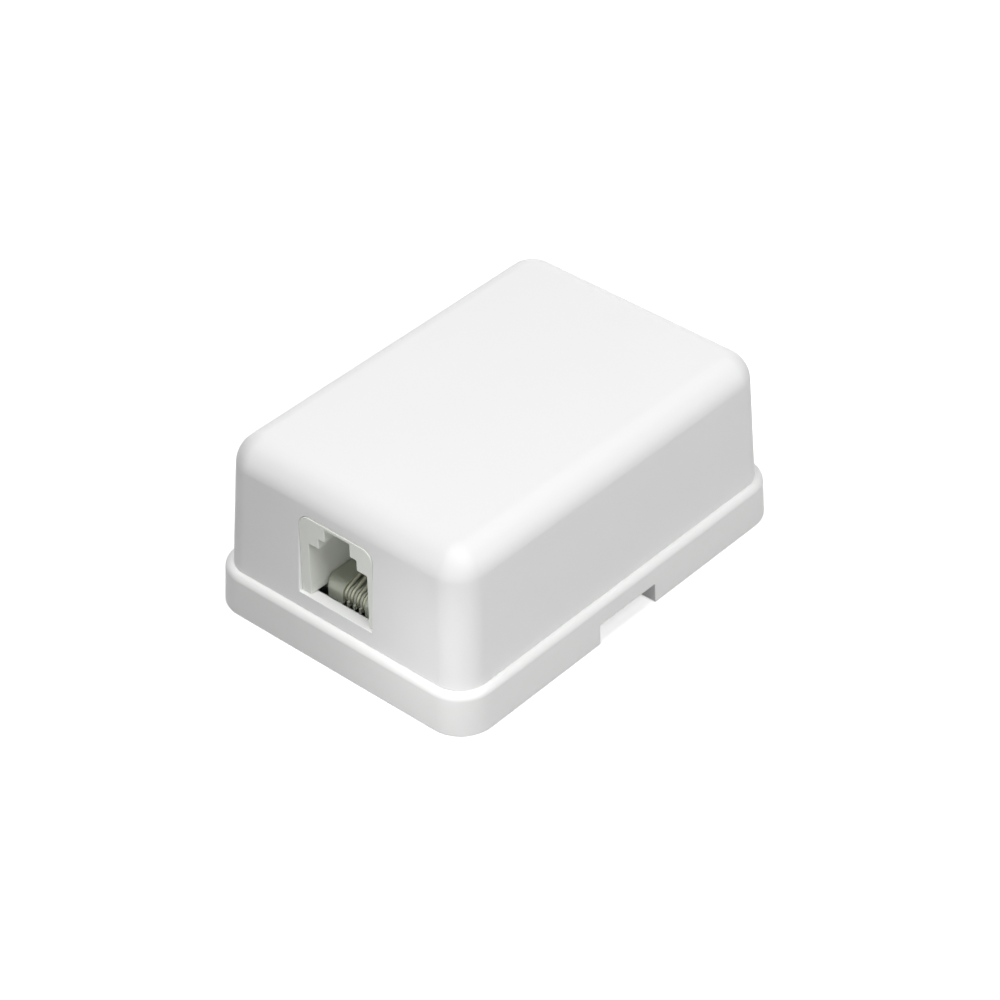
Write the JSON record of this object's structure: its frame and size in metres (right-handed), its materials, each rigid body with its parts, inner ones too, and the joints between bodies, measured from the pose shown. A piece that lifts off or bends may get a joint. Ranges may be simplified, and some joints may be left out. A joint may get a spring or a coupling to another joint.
{
  "type": "surface mount jack box",
  "caption": "Small white wall box for a telephone line: a clip-fitted cover with a modular socket in one end, over a base plate with screw terminals and a cable notch.",
  "frame": {"origin": "centre of the base's wall side, the face that lies on the wall or floor", "axes": "+X across the box towards the side with the cable notch, +Y along it away from the socket's end, +Z out from the wall"},
  "size_m": [0.0436, 0.062, 0.0254],
  "materials": {
    "cover_plastic": "fine satin",
    "base_plastic": "fine satin",
    "socket_plastic": "satin",
    "carrier_plastic": "satin",
    "contact_gold": "bright",
    "insert_brass": "machined",
    "screw_steel": "nickel plated",
    "lug_tin": "tinned",
    "lead_red": "satin",
    "lead_green": "satin",
    "lead_yellow": "satin",
    "lead_black": "satin"
  },
  "bodies": {
    "base": {"base": "base_plastic", "terminal_insert_1": "insert_brass", "terminal_insert_2": "insert_brass", "terminal_insert_3": "insert_brass", "terminal_insert_4": "insert_brass", "terminal_washer_1": "screw_steel", "terminal_washer_2": "screw_steel", "terminal_washer_3": "screw_steel", "terminal_washer_4": "screw_steel", "spade_lug_1": "lug_tin", "spade_lug_2": "lug_tin", "spade_lug_3": "lug_tin", "spade_lug_4": "lug_tin", "lead_red": "lead_red", "lead_green": "lead_green", "lead_yellow": "lead_yellow", "lead_black": "lead_black"},
    "cover": {"cover": "cover_plastic", "jack_housing": "socket_plastic", "contact_carrier": "carrier_plastic"},
    "contact_1": {"contact_wire_1": "contact_gold"},
    "contact_2": {"contact_wire_2": "contact_gold"},
    "contact_3": {"contact_wire_3": "contact_gold"},
    "contact_4": {"contact_wire_4": "contact_gold"},
    "screw_1": {"terminal_screw_1": "screw_steel"},
    "screw_2": {"terminal_screw_2": "screw_steel"},
    "screw_3": {"terminal_screw_3": "screw_steel"},
    "screw_4": {"terminal_screw_4": "screw_steel"}
  },
  "joints": [
    {"name": "cover_lift", "type": "slide", "parent": "base", "child": "cover", "axis": [0, 0, 1], "range_m": [0, 0.028], "deforming": ["lead_red", "lead_green", "lead_yellow", "lead_black"]},
    {"name": "contact_1_flex", "type": "hinge", "parent": "cover", "child": "contact_1", "pos_m": [-0.00173, -0.02533, 0.0084], "axis": [-1, 0, 0], "range_deg": [0, 18], "stiffness_Nm_per_rad": 0.02},
    {"name": "contact_2_flex", "type": "hinge", "parent": "cover", "child": "contact_2", "pos_m": [-0.00071, -0.02533, 0.0084], "axis": [-1, 0, 0], "range_deg": [0, 18], "stiffness_Nm_per_rad": 0.02},
    {"name": "contact_3_flex", "type": "hinge", "parent": "cover", "child": "contact_3", "pos_m": [0.00031, -0.02533, 0.0084], "axis": [-1, 0, 0], "range_deg": [0, 18], "stiffness_Nm_per_rad": 0.02},
    {"name": "contact_4_flex", "type": "hinge", "parent": "cover", "child": "contact_4", "pos_m": [0.00133, -0.02533, 0.0084], "axis": [-1, 0, 0], "range_deg": [0, 18], "stiffness_Nm_per_rad": 0.02},
    {"name": "terminal_screw_1_turn", "type": "hinge", "parent": "base", "child": "screw_1", "pos_m": [-0.0115, 0.0105, 0.0079], "axis": [0, 0, 1], "continuous": true},
    {"name": "terminal_screw_2_turn", "type": "hinge", "parent": "base", "child": "screw_2", "pos_m": [-0.0115, 0.021, 0.0079], "axis": [0, 0, 1], "continuous": true},
    {"name": "terminal_screw_3_turn", "type": "hinge", "parent": "base", "child": "screw_3", "pos_m": [0.0115, 0.021, 0.0079], "axis": [0, 0, 1], "continuous": true},
    {"name": "terminal_screw_4_turn", "type": "hinge", "parent": "base", "child": "screw_4", "pos_m": [0.0115, 0.0105, 0.0079], "axis": [0, 0, 1], "continuous": true}
  ]
}
